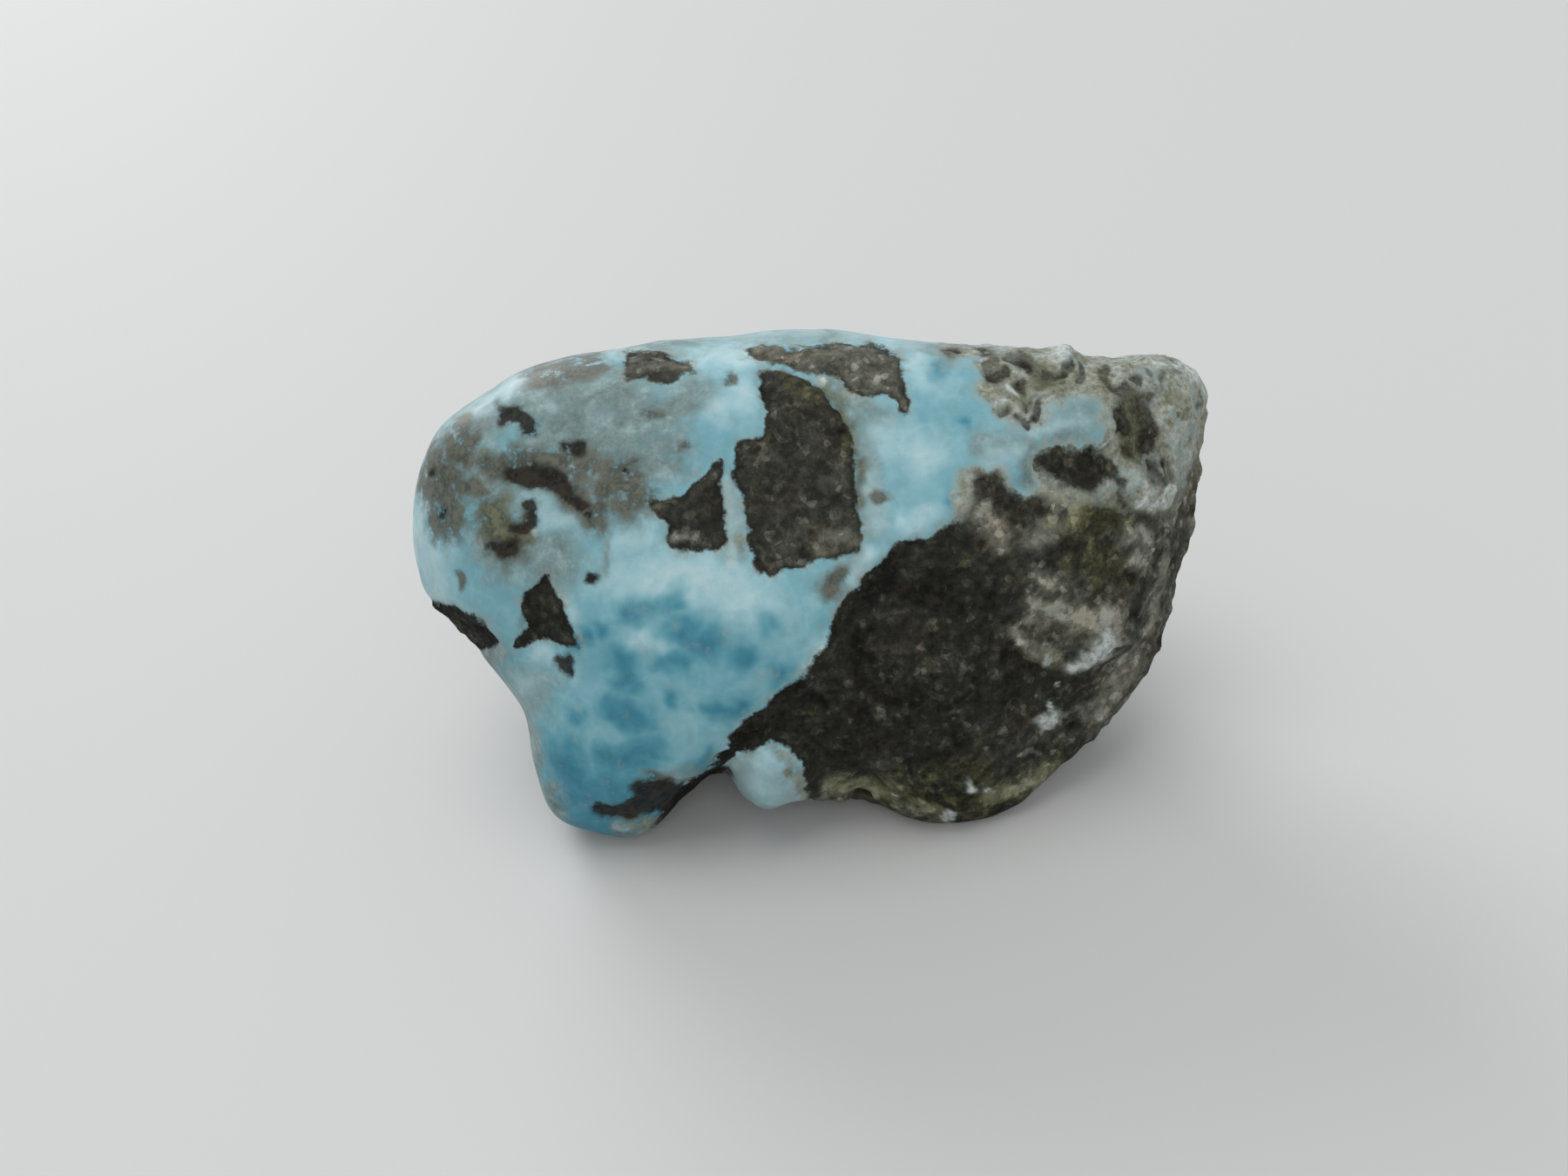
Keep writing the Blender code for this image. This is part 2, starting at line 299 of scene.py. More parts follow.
# Lengths are in mm. Outlines and marks lie on the broad face at (a, b), and fade out behind it.
stone = {
    "merged": 0.01,                                # points nearer than this are one
    "bent": math.radians(40),                      # triangles bent or skewed less than this are paired
    "skewed": math.radians(60),
    "levels": 2,                                   # of subdivision
    "faceEnds": (-4.5, -0.5),                      # w over which the broad face gives way to the back
    # How the edges of patches and of marks wander: each noise's width and reach, and shifts for a and b.
    "ragged": {"noises": ((1.3, 0.26), (0.85, 0.13)), "shifts": (3.1, 11.7)},
    "straying": {"noises": ((1.2, 0.45), (0.5, 0.22)), "shifts": (43.1, 51.7)},
    # Patches of basalt: the big mass, then the clasts and hollows.
    "basalt": {
        "bigMass": [(8.5, 3.2), (8.3, 2.9), (6.5, 1.95), (5.0, 1.75), (3.8, 0.8), (1.2, -1.7),
                    (0.0, -4.0), (-1.0, -4.9), (-3.4, -6.4), (-4.8, -7.7), (-6.0, -9.2), (-7.4, -10.1),
                    (-9.0, -14.0), (6.0, -20.0), (30.0, -12.0), (28.0, 3.0), (21.0, 3.6), (19.0, 2.1),
                    (16.0, 2.8), (12.4, 3.5), (10.6, 4.3), (10.3, 4.9), (9.3, 5.0), (8.9, 4.4)],
        "middleClast": [(-1.6, 11.2), (0.3, 11.0), (1.6, 10.1), (2.5, 8.5), (2.95, 6.8), (2.9, 4.5),
                        (2.75, 2.2), (2.1, 1.2), (0.4, 1.2), (-1.0, 0.7), (-2.3, 0.6), (-3.0, 2.0),
                        (-3.2, 4.5), (-3.6, 6.5), (-3.3, 7.6), (-2.1, 8.0), (-1.5, 8.9)],
        "triangleClast": [(-8.2, 5.3), (-6.6, 5.1), (-5.3, 6.0), (-4.2, 6.9), (-4.2, 5.0), (-4.4, 2.3),
                          (-5.6, 2.3), (-7.1, 2.5), (-7.2, 3.6), (-7.9, 4.5)],
        "upperClast": [(-2.1, 12.7), (0.5, 12.5), (3.3, 12.45), (5.0, 12.0), (5.9, 10.9), (5.95, 8.5),
                       (5.4, 8.6), (5.0, 9.6), (3.9, 9.4), (3.0, 9.8), (2.5, 10.6), (1.0, 11.05),
                       (-0.4, 11.45), (-1.9, 11.9)],
        "upperLeftClast": [(-8.75, 12.95), (-7.6, 12.95), (-6.2, 12.6), (-4.95, 11.75), (-5.6, 11.5),
                           (-6.7, 11.25), (-7.6, 11.55), (-8.75, 11.6)],
        "leftTriangle": [(-14.0, 1.6), (-13.5, 0.9), (-12.4, -2.3), (-13.0, -2.2), (-14.3, -1.7),
                         (-15.3, -2.2), (-15.8, -1.8), (-15.1, -0.8), (-15.2, 0.7), (-14.6, 1.0)],
        "leftHollow": [(-20.3, 0.9), (-19.2, 0.5), (-18.0, 0.0), (-16.7, -1.3), (-17.0, -1.9),
                       (-18.4, -1.9), (-19.8, -0.8)],
        "darkPit": [(12.2, 5.6), (13.6, 6.0), (15.2, 5.8), (16.5, 5.0), (16.7, 4.0), (15.8, 3.9),
                    (15.2, 3.2), (14.5, 3.7), (13.5, 3.9), (12.8, 4.5)],
        "rightSide": [(22.3, 7.6), (21.6, 6.6), (20.9, 5.2), (20.3, 4.2), (19.3, 2.4), (21.0, 0.0),
                      (24.0, 3.0)],
    },
    "reach": 3.0,                                  # in and out of a patch, past which its depth stays
    "ashen": {"middleClast": 0.4, "triangleClast": 0.32, "upperClast": 1.0,
              "upperLeftClast": 0.6, "rightSide": 0.35},
    "ashenEnds": (-0.3, 0.5),                      # where ash starts and is full, in from the edge
    # A knob of larimar in the big mass, then the altered stone.
    "knob": [(-5.4, -9.8), (-4.9, -8.9), (-3.4, -8.2), (-2.0, -8.4), (-1.3, -9.3), (-1.1, -11.2),
             (0.2, -11.7), (0.3, -12.6), (-2.5, -12.8), (-4.6, -10.9)],
    "altered": [(8.1, 12.3), (8.5, 11.0), (9.6, 11.1), (10.0, 10.2), (9.9, 9.3), (10.4, 8.3),
                (11.0, 7.5), (12.2, 7.2), (13.2, 7.5), (14.0, 8.3), (15.8, 8.4), (16.1, 7.2),
                (15.7, 6.1), (14.0, 6.0), (12.5, 5.5), (12.6, 4.2), (11.6, 3.6), (10.8, 4.3),
                (10.6, 5.1), (9.3, 5.3), (8.2, 4.5), (8.0, 3.2), (9.0, 1.5), (20.0, 0.0), (26.0, 8.0),
                (22.0, 14.0), (12.0, 15.0)],
    "alteredEnds": (-1.0, 1.0),
    # Smaller marks: the points that each runs through, then its half width. Deep and milk are darker
    # and paler blues, dull is greyed larimar, and ash and worn make the basalt paler. Some deep and dull
    # strokes are painted shade on the foot and the lower left edge, and milk along the top and left edges
    # is partly a painted highlight.
    "marks": {
        "deep": [((-10.8, -5.6), (-9.5, -6.4), 0.8), ((-7.8, -5.5), 0.5),
                 ((-10.2, -3.0), (-10.0, -4.3), 0.7), ((-8.1, -3.2), (-6.9, -3.6), 0.6),
                 ((-7.0, -1.9), (-5.4, -2.6), 1.0), ((-11.1, -1.5), 0.5),
                 ((-9.6, -0.7), (-7.2, -0.3), 0.7), ((-12.3, -2.0), 0.6), ((-2.0, -4.6), 0.6),
                 ((-5.9, -6.4), (-4.2, -6.1), 0.6), ((-7.2, -9.2), (-6.1, -8.6), 0.5),
                 # The strokes over the foot's lower part, from (-14, -8) down to (-10, -12.4), are painted
                 # shade where the foot turns under.
                 ((-12.8, -6.2), 0.5), ((-13.4, -10.0), (-10.2, -10.0), 1.5),
                 ((-14.0, -12.0), (-10.0, -12.4), 1.8), ((7.6, 10.7), 0.5), ((8.9, 7.6), 0.3),
                 ((-14.0, -8.0), (-12.0, -11.0), 1.2), ((8.0, 3.9), 0.4),
                 ((-17.0, -2.2), (-16.5, -3.3), 0.6), ((-4.0, -3.5), 0.8), ((-2.4, -2.0), 0.6),
                 ((-11.3, -8.4), (-9.2, -8.0), 1.0)],
        # Milk strokes along the left and top edges, from (-19.8, 0.8) round to (7.0, 12.2), are a paler
        # worn edge with a painted highlight along it.
        "milk": [((-9.8, 1.0), (-6.4, 1.2), (-2.6, -0.9), 1.5), ((-9.5, -2.0), (-8.2, -2.8), 0.5),
                 ((-15.3, -4.0), 1.0), ((-14.7, -2.3), (-13.8, -2.7), 0.4),
                 ((-12.9, 0.3), (-12.5, -0.9), 0.4), ((-7.3, -9.4), 0.6),
                 ((0.3, -3.1), (-0.3, -4.4), 0.45), ((-4.5, 12.4), (-2.4, 12.3), 1.0),
                 ((6.7, 12.3), 0.8), ((4.4, 7.4), (6.5, 6.4), 1.3), ((12.5, 6.9), (15.2, 7.3), 0.5),
                 ((-9.6, 3.0), (-8.4, 3.2), 0.9), ((-4.0, 5.6), (-3.9, 3.0), (-4.0, 1.2), 0.5),
                 ((-5.2, -9.9), (-1.4, -11.4), 1.6), ((-19.8, 0.8), (-19.6, 3.6), 1.0),
                 ((-4.0, -9.0), (-2.0, -9.0), 0.9), ((5.4, 2.6), (6.6, 3.0), 0.8),
                 ((3.7, 5.5), (3.7, 2.8), 0.6), ((-4.0, 9.6), (-2.6, 9.9), 1.0),
                 ((10.3, 6.2), (11.5, 6.0), 0.6), ((-20.2, 2.5), (-20.3, 6.0), 0.5),
                 ((-20.2, 5.0), (-19.7, 7.2), (-18.7, 8.9), (-17.0, 10.2), (-14.6, 11.6),
                  (-12.4, 12.4), 0.45),
                 ((6.2, 12.2), (6.8, 10.4), 0.9), ((-11.0, 12.9), (-8.0, 13.2), 0.4),
                 ((2.2, 0.0), (3.4, 1.4), 0.7), ((-4.9, -9.2), (-3.6, -8.8), (-3.0, -9.6), 1.1),
                 ((3.0, 13.0), (7.0, 12.2), 0.8), ((-4.4, 13.4), (1.6, 13.2), 0.5),
                 ((-14.2, 5.6), (-12.8, 4.6), 0.8)],
        "dull": [((-15.2, -4.2), 1.5), ((9.8, 6.4), (12.0, 6.2), 0.8), ((6.2, 12.2), (8.4, 11.4), 0.8),
                 ((-14.0, 11.6), (-9.0, 10.8), 2.4), ((-18.5, 8.0), (-15.0, 6.5), 2.4),
                 ((-13.0, 6.5), (-9.6, 6.0), 2.6), ((-12.5, 9.0), (-8.0, 9.0), 2.4),
                 ((-16.0, 3.5), (-13.5, 2.5), 2.0), ((-17.4, -2.4), 1.4),
                 # The strokes at (-14.7, -9.5) here and at (-11.0, -12.2) below are painted shade on the
                 # foot's lower part.
                 ((-7.5, 9.6), (-5.0, 10.5), 1.2), ((-14.7, -9.5), (-14.2, -11.0), 0.5),
                 ((-16.6, 9.8), (-12.5, 12.3), 1.6),
                 ((2.4, 10.2), (3.5, 8.0), (3.6, 5.0), (3.5, 2.6), 0.8),
                 ((-12.0, 8.2), (-7.0, 7.4), 1.8), ((-11.0, -12.2), (-9.0, -12.4), 0.8),
                 ((-4.4, -9.8), (-3.4, -10.4), (-1.6, -10.4), 1.2), ((1.0, -0.4), (2.6, 1.0), 0.9),
                 ((-7.8, -9.3), (-7.2, -9.2), 0.5), ((-4.2, 5.2), (-3.9, 1.8), 0.7),
                 ((4.6, 8.2), (2.4, 10.8), 0.7), ((13.8, 6.6), (15.4, 7.6), 1.3),
                 ((12.2, 5.6), (12.0, 4.4), 0.8), ((-10.4, 3.6), (-10.6, 1.4), 0.25),
                 ((-8.4, 13.3), (-2.8, 13.4), (1.6, 13.2), (4.2, 12.9), 0.7),
                 ((-3.6, -11.7), (-1.2, -12.2), 0.45),
                 # The stroke along the lower left edge, from (-16.4, -3.9) to (-15.3, -9.4), is painted
                 # shade on the underside edge.
                 ((-16.4, -3.9), (-15.4, -6.4), (-15.3, -9.4), 0.5)],
        "brown": [((17.6, 8.0), (18.2, 6.6), (18.2, 5.2), 1.0),
                  ((-18.9, 8.0), (-18.9, 6.8), (-18.7, 5.0), 1.2), ((-17.3, 9.4), (-17.6, 8.2), 1.0),
                  ((-16.2, 7.6), (-15.0, 7.2), 0.8), ((-16.4, 4.9), (-15.6, 3.7), 1.3),
                  ((-9.4, 6.6), (-8.6, 5.4), 1.2), ((-18.0, 6.5), (-16.9, 6.4), 0.5),
                  ((-13.4, 12.0), (-10.2, 12.5), 0.8), ((-15.1, 8.4), (-15.7, 7.5), 0.4),
                  ((-14.8, 7.1), (-13.3, 7.0), (-12.3, 6.3), (-11.7, 5.2), (-11.2, 4.3), 0.75),
                  ((-14.4, 7.8), (-12.4, 7.5), (-11.0, 7.3), 0.9),
                  ((-9.2, 7.1), (-10.1, 5.8), (-10.7, 5.0), 0.8), ((-9.1, 6.9), 0.55),
                  ((-8.7, 7.5), 0.35), ((-9.3, 5.0), 0.9), ((-7.5, 9.6), 0.5), ((-3.3, 11.0), 0.4),
                  ((-5.9, 7.7), 0.4), ((-18.2, 1.9), (-18.4, 1.4), 0.25), ((-11.3, 1.4), 0.35),
                  ((4.0, 4.4), 0.45), ((8.5, 11.4), 0.6), ((10.3, 11.2), (10.4, 10.4), 0.5),
                  ((12.3, 10.6), (12.9, 10.0), 0.5), ((-1.8, -9.8), 0.25), ((19.4, 9.2), 0.25),
                  ((17.4, 6.4), (17.6, 5.4), 0.5), ((17.3, 7.6), 0.4),
                  # The stroke at (-9.3, -9.4) on the foot's right is a brownish-grey smear that also paints
                  # shade there.
                  ((-9.3, -9.4), (-8.3, -9.8), 0.5), ((1.0, -0.2), (1.8, 0.4), 0.6), ((9.6, 4.6), 0.6)],
        "ash": [((-1.6, 12.3), (3.0, 11.6), (5.2, 10.6), 1.2), ((-8.6, 12.2), (-5.6, 11.8), 0.8),
                ((11.6, -2.6), (14.0, -3.0), 0.9), ((14.2, -3.4), (15.6, -3.4), 1.3),
                ((10.4, -3.6), (12.0, -4.8), (13.0, -5.6), 0.5), ((0.5, 1.8), (2.2, 2.2), 0.7),
                ((-6.6, 3.1), (-5.8, 3.0), 0.6), ((16.8, -5.2), (14.6, -8.2), 0.9),
                ((0.2, -10.8), (3.0, -11.2), 1.0), ((8.4, -12.0), (12.0, -10.8), 0.5),
                ((8.8, 3.4), (10.2, 1.6), 1.0), ((17.6, 0.8), (17.0, -0.6), 0.9),
                ((12.0, 1.4), (14.4, 2.8), 0.9), ((21.3, 5.0), (20.3, 0.6), 0.7),
                ((20.4, -0.4), (19.0, -3.8), 0.8), ((16.9, 1.8), (16.7, 1.0), 0.6),
                ((12.2, -0.8), (12.8, -1.4), 0.5), ((18.8, 0.4), (18.1, -2.4), (17.5, -4.2), 0.45),
                ((19.9, 3.2), (19.3, 1.6), 0.5), ((3.6, -12.2), (6.0, -12.4), 0.6)],
        "worn": [((12.0, -3.4), (15.0, -4.6), 2.4),
                 ((11.0, 1.5), (15.5, -1.0), (15.5, -6.0), (11.5, -10.0), 3.2),
                 ((21.0, 6.0), (19.0, 1.0), (18.4, -3.0), 1.8)],
        "moss": [((-15.9, 5.0), (-15.4, 4.4), 1.1), ((-16.0, 3.4), 0.6),
                 ((17.6, 7.6), (17.8, 5.4), 0.7),
                 ((1.6, 10.2), (2.6, 8.4), (3.0, 6.4), (3.1, 4.0), 0.4),
                 ((-0.6, 10.8), (1.0, 10.0), 0.6),
                 ((0.6, -10.6), (4.0, -11.6), (8.0, -12.4), (12.0, -10.8), 1.0), ((-14.9, -0.6), 0.4),
                 ((-0.6, -6.7), 0.35), ((13.4, 2.0), (16.6, 2.2), 1.2),
                 ((14.4, 0.0), (16.2, -0.9), 1.2), ((8.1, 0.7), 0.4), ((3.7, -10.5), 0.6),
                 ((5.2, -10.5), (8.0, -10.8), 0.8), ((5.0, -12.4), (8.4, -12.2), 0.7),
                 ((9.5, -11.6), (11.5, -11.3), 0.5), ((0.2, -10.9), (1.6, -10.6), 0.5),
                 ((12.2, 8.6), 0.6), ((11.0, 9.9), 0.5), ((14.2, 9.2), (13.2, 9.4), 0.6),
                 ((17.6, 8.2), 0.5), ((17.7, 5.8), 0.5), ((12.6, -5.2), 0.6),
                 ((0.2, 10.6), (1.6, 9.2), 0.4)],
        "beige": [((1.6, 10.5), 0.35), ((2.6, 9.5), 0.25), ((-3.7, 2.9), (-3.5, 2.2), 0.4),
                  ((8.6, 4.4), (8.4, 3.4), 0.35), ((9.4, 3.2), (9.7, 2.2), 0.5), ((10.7, 8.8), 0.3),
                  ((9.9, 10.8), (9.95, 10.1), 0.22), ((11.4, 10.2), 0.3), ((11.6, 8.7), 0.4),
                  ((16.3, 6.7), (16.6, 6.3), 0.4), ((16.2, 8.6), (15.6, 9.0), 0.6),
                  ((16.3, 5.3), (17.4, 4.7), (18.0, 3.8), 0.25),
                  ((12.8, 3.4), (14.2, 3.0), (16.0, 3.2), 0.5), ((19.2, 5.4), 0.6), ((20.6, 8.0), 0.5),
                  ((13.8, 8.7), 0.4), ((21.3, 7.0), (20.9, 5.8), (20.2, 4.4), (19.2, 2.8), 0.22),
                  ((0.3, -10.8), (1.3, -10.4), (2.3, -11.1), 0.35), ((-0.4, -11.4), (0.6, -11.7), 0.4),
                  ((10.7, -4.0), 0.3), ((7.2, -3.1), 0.3), ((7.5, -5.3), 0.35), ((9.4, -0.7), 0.3),
                  ((11.1, -2.9), 0.35), ((12.6, -1.1), 0.3), ((10.2, -10.0), (11.1, -9.9), 0.22),
                  ((3.6, -11.7), 0.3), ((9.6, -11.8), (11.4, -11.4), 0.35),
                  ((4.3, -12.4), (5.6, -12.1), 0.3), ((14.5, -3.4), (15.8, -3.3), 0.6),
                  ((15.7, -2.6), (16.1, -4.2), 0.4), ((11.5, -2.0), (13.5, -3.0), 0.6),
                  # The line along the upper right rim, from (18.9, 10.1) to (21.6, 8.0), is a pale rim with
                  # a painted highlight on it.
                  ((18.9, 10.1), (20.4, 9.7), (21.3, 8.8), (21.6, 8.0), 0.3),
                  ((17.4, 2.3), (18.4, 2.3), (19.0, 3.0), 0.35), ((17.4, -0.4), 0.4),
                  ((-10.6, -11.4), (-9.3, -11.8), (-8.5, -12.0), 0.35),
                  ((-2.7, -8.5), (-1.9, -9.0), (-1.5, -10.2), (-1.4, -11.2), 0.35),
                  ((-9.9, -11.8), (-8.8, -12.0), 0.5), ((17.2, 1.4), (18.2, 0.6), 0.4),
                  ((-6.9, 3.0), (-5.9, 2.8), 0.3), ((6.0, -6.4), 0.25), ((12.7, -9.0), 0.4),
                  ((9.4, -5.6), 0.35), ((7.2, -7.5), 0.35), ((7.6, -5.0), 0.4), ((3.0, -7.0), 0.5)],
        "white": [((-14.0, 4.1), 0.35), ((1.7, 10.5), 0.3), ((10.8, 8.7), 0.35), ((11.4, 9.3), 0.2),
                  # The line along the upper right rim is a pale rim with a painted highlight on it.
                  ((19.0, 10.1), (20.6, 9.6), (21.5, 8.6), (21.7, 7.9), 0.2),
                  ((17.7, 2.6), (18.6, 2.5), (19.2, 3.2), 0.25), ((10.0, 10.9), 0.2),
                  ((16.15, 5.9), 0.2), ((11.8, -5.1), 0.3), ((11.4, -8.3), (12.1, -7.9), 0.35),
                  ((11.9, -7.5), 0.25), ((12.6, -6.6), (12.6, -6.8), 0.15),
                  ((7.3, -11.1), (7.7, -11.5), 0.3), ((8.5, -11.7), 0.2),
                  ((5.0, -13.2), (6.0, -13.3), 0.22), ((5.9, -12.6), (6.4, -12.8), 0.2),
                  ((13.6, -5.6), (14.6, -5.0), (15.6, -4.2), 0.4), ((14.6, -8.4), 0.2),
                  ((9.8, 12.0), (10.4, 11.8), 0.2), ((10.7, -4.0), 0.18), ((3.6, -11.6), 0.15)],
        "dark": [((-15.2, 10.1), (-14.2, 10.0), 0.42), ((-14.25, 9.6), 0.5),
                 ((-12.0, 8.2), (-11.4, 8.25), 0.42), ((-14.8, 7.0), (-13.4, 6.9), (-12.3, 6.2), 0.55),
                 ((-12.1, 5.9), (-11.7, 5.3), 0.3), ((-11.5, 4.7), 0.2), ((-19.1, 7.6), 0.25),
                 ((-19.0, 5.5), 0.25), ((-16.3, 3.3), (-15.6, 3.4), 0.5),
                 ((-14.3, 5.3), (-14.4, 4.6), 0.35), ((-15.0, 4.3), 0.35),
                 ((-13.2, -2.6), (-13.2, -3.3), 0.35), ((-11.3, 1.4), 0.35), ((-9.1, 6.9), 0.2),
                 ((16.7, 8.9), (17.2, 8.9), 0.4), ((16.4, 9.9), (16.4, 9.5), 0.28),
                 ((13.4, 9.9), (14.5, 10.2), 0.25), ((15.2, 9.9), (15.1, 9.6), 0.28),
                 ((11.9, 9.4), 0.25), ((10.3, 9.9), (11.2, 9.95), 0.28),
                 ((11.4, 10.8), (12.2, 10.4), 0.25), ((10.1, 11.5), 0.25), ((8.6, 11.5), 0.22),
                 ((11.0, 8.0), 0.26), ((11.6, 7.7), (12.1, 7.4), 0.22),
                 ((12.6, 7.8), (13.1, 8.4), 0.25), ((12.1, 8.2), 0.25),
                 ((17.2, 7.7), (17.3, 6.5), 0.25), ((17.2, 5.5), 0.3), ((18.6, 4.8), (18.9, 3.8), 0.4),
                 ((20.3, 9.6), 0.25), ((21.2, 7.5), 0.22), ((20.2, 7.0), 0.22), ((18.7, 9.4), 0.18),
                 ((18.0, 9.3), 0.22), ((18.2, 7.6), (18.5, 6.8), (18.4, 5.6), 0.5),
                 ((17.0, 7.4), (17.1, 6.6), 0.22), ((17.5, 8.2), (18.8, 8.3), 0.2),
                 ((16.6, 3.9), (16.8, 2.8), 0.25), ((9.4, 4.6), (10.0, 4.7), 0.3), ((10.3, 3.9), 0.35),
                 # Dark strokes in the crease and hollow between the foot and the knob: some dirt, and
                 # painted shade of the hollow.
                 ((-12.0, -11.0), (-10.4, -11.1), (-9.0, -10.9), 0.4),
                 ((-9.6, -10.2), (-8.0, -10.5), 0.7), ((-8.4, -10.9), (-6.6, -10.5), (-5.8, -9.8), 0.8),
                 ((10.2, -4.8), (11.2, -5.4), 0.35), ((13.2, -8.4), 0.3),
                 ((5.2, -11.7), (6.2, -12.4), 0.28), ((1.3, -11.2), (1.8, -11.3), 0.28),
                 ((13.2, 0.6), (13.8, 0.9), 0.35), ((4.9, -0.8), 0.4), ((9.3, -1.6), 0.4),
                 ((9.2, 1.6), 0.35), ((18.5, 0.2), 0.35), ((2.5, -8.7), 0.6), ((7.2, -9.3), 0.35),
                 ((4.7, 0.9), 0.4), ((2.4, 8.0), 0.35), ((-2.6, 1.4), 0.35), ((16.8, -1.2), 0.4),
                 ((17.0, -3.0), 0.3), ((-4.6, -7.9), (-3.4, -7.4), 0.35), ((20.3, 1.9), 0.3)],
    },
    # White crystals that stand out: a, b, radius and rise.
    "crystals": [(14.35, 10.95, 0.7, 0.5), (14.9, -4.7, 0.6, 0.12), (14.1, -5.2, 0.5, 0.1)],
    # Clasts of the sides and the back: u, v, w and radius.
    "buried": [
        (-6.0, 8.0, -9.0, 2.6), (-14.0, 5.0, -8.0, 2.2), (-9.0, -3.0, -11.0, 2.8),
        (3.0, 9.5, -8.5, 2.0), (-17.5, 1.0, -5.0, 1.8), (-1.0, 1.0, -13.5, 2.0),
        (-13.0, -6.0, -8.0, 2.0), (5.0, 5.0, -12.0, 1.6), (-10.5, 10.5, -5.0, 1.2),
        (-4.5, -7.0, -8.0, 1.8), (-18.0, 6.0, -4.5, 1.1), (9.5, 9.0, -6.0, 1.7),
    ],
    "buriedFine": 0.9,                             # how far fine noise moves their edges
    # Behind the broad face the big mass runs on through the stone: the share of its depth that
    # counts there, and how far broad and fine noise move its edge.
    "massBehind": {"share": 0.8, "broad": 3.0, "fine": 1.5},
    "broadNoise": (6.0, 5.3),                      # width and shift
    "fineNoise": (2.2, 8.1),
    # Stuffs behind the broad face, by noise: its width and shift, and where it starts and is full.
    "behind": {
        "deep": (2.5, 21.0, 0.0, 0.6), "milk": (3.0, 31.0, 0.1, 0.6), "dull": (4.0, 41.0, -0.2, 0.4),
        "brown": (2.2, 51.0, 0.2, 0.6), "moss": (4.0, 61.0, 0.1, 0.6), "ash": (3.0, 65.0, 0.0, 0.5),
        "worn": (6.0, 67.0, -0.2, 0.5), "beige": (1.1, 71.0, 0.3, 0.6), "white": (1.0, 81.0, 0.48, 0.65),
        "dark": (0.8, 91.0, 0.48, 0.65), "altered": (5.0, 101.0, 0.1, 0.4),
    },
    # Relief: where each stuff starts and is full, and the width and height of its lumps.
    "basaltEdge": (-0.1, 0.1),
    "alteredEdge": (0.3, 0.7),
    "lumps": {
        "basalt": ((1.8, 0.15), (0.85, 0.12), (0.45, 0.08)),
        "altered": ((1.3, 0.16), (0.7, 0.12), (0.4, 0.06)),
        "larimar": ((4.0, 0.10), (1.4, 0.03)),
    },
    "rawEnds": (-4.0, -0.5),                       # w over which the worn surface gives way to the raw one
    "rawFacets": ((3.6, 0.40), (1.5, 0.25)),       # size and tilt of the planes that broke there
    "rawReach": 0.6,                               # how far they may stand in or out
    "basaltFacets": (1.3, 0.12),
    "alteredFacets": 0.6,                          # altered stone's share of them
    "facetBlend": 0.25,                            # share of a plane over which it runs into the next
    "groove": (0.32, 0.08),                        # width and depth, along the edge of the basalt
    "dents": {"dark": -0.08, "white": 0.08, "beige": 0.05, "brown": -0.03},
    "pads": (0.15, 1.0),                           # z over which the relief starts
    # Single bumps and pits: a, b, radius and rise.
    "bumps": [
        (-17.9, 9.8, 2.2, 0.42), (-14.8, 12.0, 2.2, 0.2), (1.7, 10.45, 0.35, 0.12),
        (9.8, -1.0, 1.2, 0.15), (10.7, -4.0, 0.4, 0.15), (11.8, -5.1, 0.4, 0.15),
        (11.8, -8.0, 0.7, 0.2), (7.5, -11.3, 0.5, 0.2), (-15.1, 8.6, 0.6, 0.06), (12.6, 8.6, 0.8, -0.2),
        (16.9, 8.9, 0.6, -0.3), (11.9, 9.4, 0.4, -0.2), (13.6, 10.1, 0.6, -0.2),
    ],
    "bumpsEnd": -3.0,                              # w behind which there are none
    "folds": (math.radians(70), 6),                # edges sharper than this are eased, in so many passes
    # Colours of each stuff, along its ramp.
    "ramps": {
        "larimar": [(0.0, tone(182, 202, 202)), (0.22, tone(148, 184, 191)), (0.42, tone(116, 163, 173)),
                    (0.60, tone(84, 143, 157)), (0.78, tone(58, 122, 141)), (1.0, tone(34, 94, 116))],
        "dull": [(0.15, tone(74, 82, 75)), (0.4, tone(98, 112, 107)), (0.65, tone(117, 134, 132)),
                 (0.9, tone(141, 161, 161))],
        "altered": [(0.1, tone(58, 55, 47)), (0.3, tone(90, 88, 77)), (0.5, tone(116, 117, 105)),
                    (0.7, tone(138, 141, 130)), (0.9, tone(164, 168, 159))],
        "basalt": [(0.0, tone(10, 10, 8)), (0.22, tone(24, 24, 20)), (0.42, tone(42, 43, 37)),
                   (0.58, tone(64, 65, 57)), (0.78, tone(100, 101, 92)), (1.0, tone(146, 147, 136))],
        "olive": [(0.0, tone(14, 14, 8)), (0.3, tone(38, 39, 24)), (0.5, tone(64, 64, 42)),
                  (0.75, tone(98, 97, 66)), (1.0, tone(132, 130, 100))],
    },
    "tints": {
        "halo": tone(142, 156, 152), "blueGrey": tone(138, 154, 153), "oliveGrey": tone(96, 96, 66),
        "paleLine": tone(140, 148, 138), "darkLine": tone(20, 19, 16), "warmth": (1.14, 1.0, 0.9),
    },
    # How each mark shows: where it starts and is full, its strength and how torn its edges are.
    "showing": {
        "brown": (0.05, 0.95, 0.9, 1.5), "moss": (0.0, 1.0, 0.8, 0.9), "beige": (0.2, 1.0, 0.7, 1.5),
        "dark": (0.05, 0.7, 0.96, 1.2), "white": (0.1, 1.0, 0.85, 0.35),
    },
    "mottles": {                                   # the dark and light tones of each mark
        "brown": (tone(48, 46, 37), tone(94, 93, 80)), "moss": (tone(60, 61, 42), tone(104, 107, 84)),
        "beige": (tone(92, 94, 80), tone(140, 142, 126)), "dark": (tone(18, 16, 13), tone(46, 42, 35)),
        "white": (tone(146, 154, 150), tone(192, 199, 196)),
    },
    "noises": {                                    # width, detail, roughness, warp and shift
